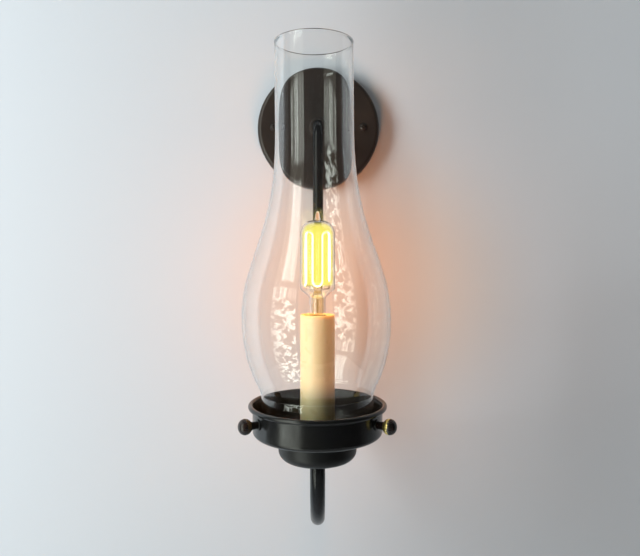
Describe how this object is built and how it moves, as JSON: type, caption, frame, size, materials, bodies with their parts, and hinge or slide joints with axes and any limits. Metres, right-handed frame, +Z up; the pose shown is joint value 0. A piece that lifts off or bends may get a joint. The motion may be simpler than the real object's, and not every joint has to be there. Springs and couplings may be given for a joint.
{
  "type": "wall sconce",
  "caption": "Hurricane wall sconce: bent pipe arm on a round wall plate, with a screw-held dish, a clear glass lamp chimney, a candle sleeve and a squirrel-cage bulb.",
  "frame": {"origin": "centre of the wall plate's back, on the wall's plane", "axes": "+Z up, +Y into the wall, so the lamp stands towards -Y and +X is its right seen from the room"},
  "size_m": [0.1142, 0.2385, 0.3711],
  "materials": {
    "bronze": "satin oil-rubbed bronze paint",
    "steel": "zinc-plated steel",
    "ground_green": "green dyed zinc",
    "brass": "bright rolled brass",
    "chimney_glass": "clear blown glass",
    "bulb_glass": "clear lamp glass",
    "candle_ivory": "ivory resin sleeve",
    "phenolic": "black moulded phenolic",
    "filament": "glowing carbon wire",
    "black_insulation": "black wire insulation",
    "white_insulation": "white wire insulation",
    "cap_plastic": "orange moulded plastic"
  },
  "bodies": {
    "mounting": {"wall_plate": "bronze", "crossbar": "steel", "mounting_screw_left": "bronze", "mounting_screw_right": "bronze", "ground_screw": "ground_green", "arm_pipe": "bronze", "arm_collar": "bronze", "arm_washer": "steel", "arm_nut": "steel", "holder_cup": "bronze", "chimney_holder": "bronze", "holder_nut": "steel", "socket_bracket": "steel", "socket_body": "phenolic", "socket_shell": "brass", "socket_contact": "brass", "socket_eyelet": "brass", "terminal_screw_live": "brass", "terminal_screw_neutral": "steel", "wire_live": "black_insulation", "wire_neutral": "white_insulation", "wire_cap_live": "cap_plastic", "wire_cap_neutral": "cap_plastic"},
    "chimney": {"chimney": "chimney_glass"},
    "screw_left": {"chimney_screw_left": "bronze"},
    "screw_right": {"chimney_screw_right": "bronze"},
    "screw_rear": {"chimney_screw_rear": "bronze"},
    "candle_cover": {"candle_cover": "candle_ivory"},
    "bulb": {"bulb_base": "brass", "bulb_insulator": "phenolic", "bulb_contact": "steel", "bulb_glass": "bulb_glass", "bulb_stem": "bulb_glass", "bulb_filament": "filament", "bulb_top_support": "steel", "bulb_bottom_support": "steel", "bulb_lead_a": "steel", "bulb_lead_b": "steel"}
  },
  "joints": [
    {"name": "chimney_lift", "type": "slide", "parent": "mounting", "child": "chimney", "axis": [0, 0, 1], "range_m": [0, 0.16]},
    {"name": "screw_left_travel", "type": "slide", "parent": "mounting", "child": "screw_left", "axis": [-0.866, -0.5, 0], "range_m": [0, 0.004]},
    {"name": "screw_right_travel", "type": "slide", "parent": "mounting", "child": "screw_right", "axis": [0.866, -0.5, 0], "range_m": [0, 0.004]},
    {"name": "screw_rear_travel", "type": "slide", "parent": "mounting", "child": "screw_rear", "axis": [0, 1, 0], "range_m": [0, 0.004]},
    {"name": "candle_cover_lift", "type": "slide", "parent": "mounting", "child": "candle_cover", "axis": [0, 0, 1], "range_m": [0, 0.01]},
    {"name": "bulb_draw_out", "type": "slide", "parent": "mounting", "child": "bulb", "axis": [0, 0, 1], "range_m": [0, 0.025]}
  ]
}
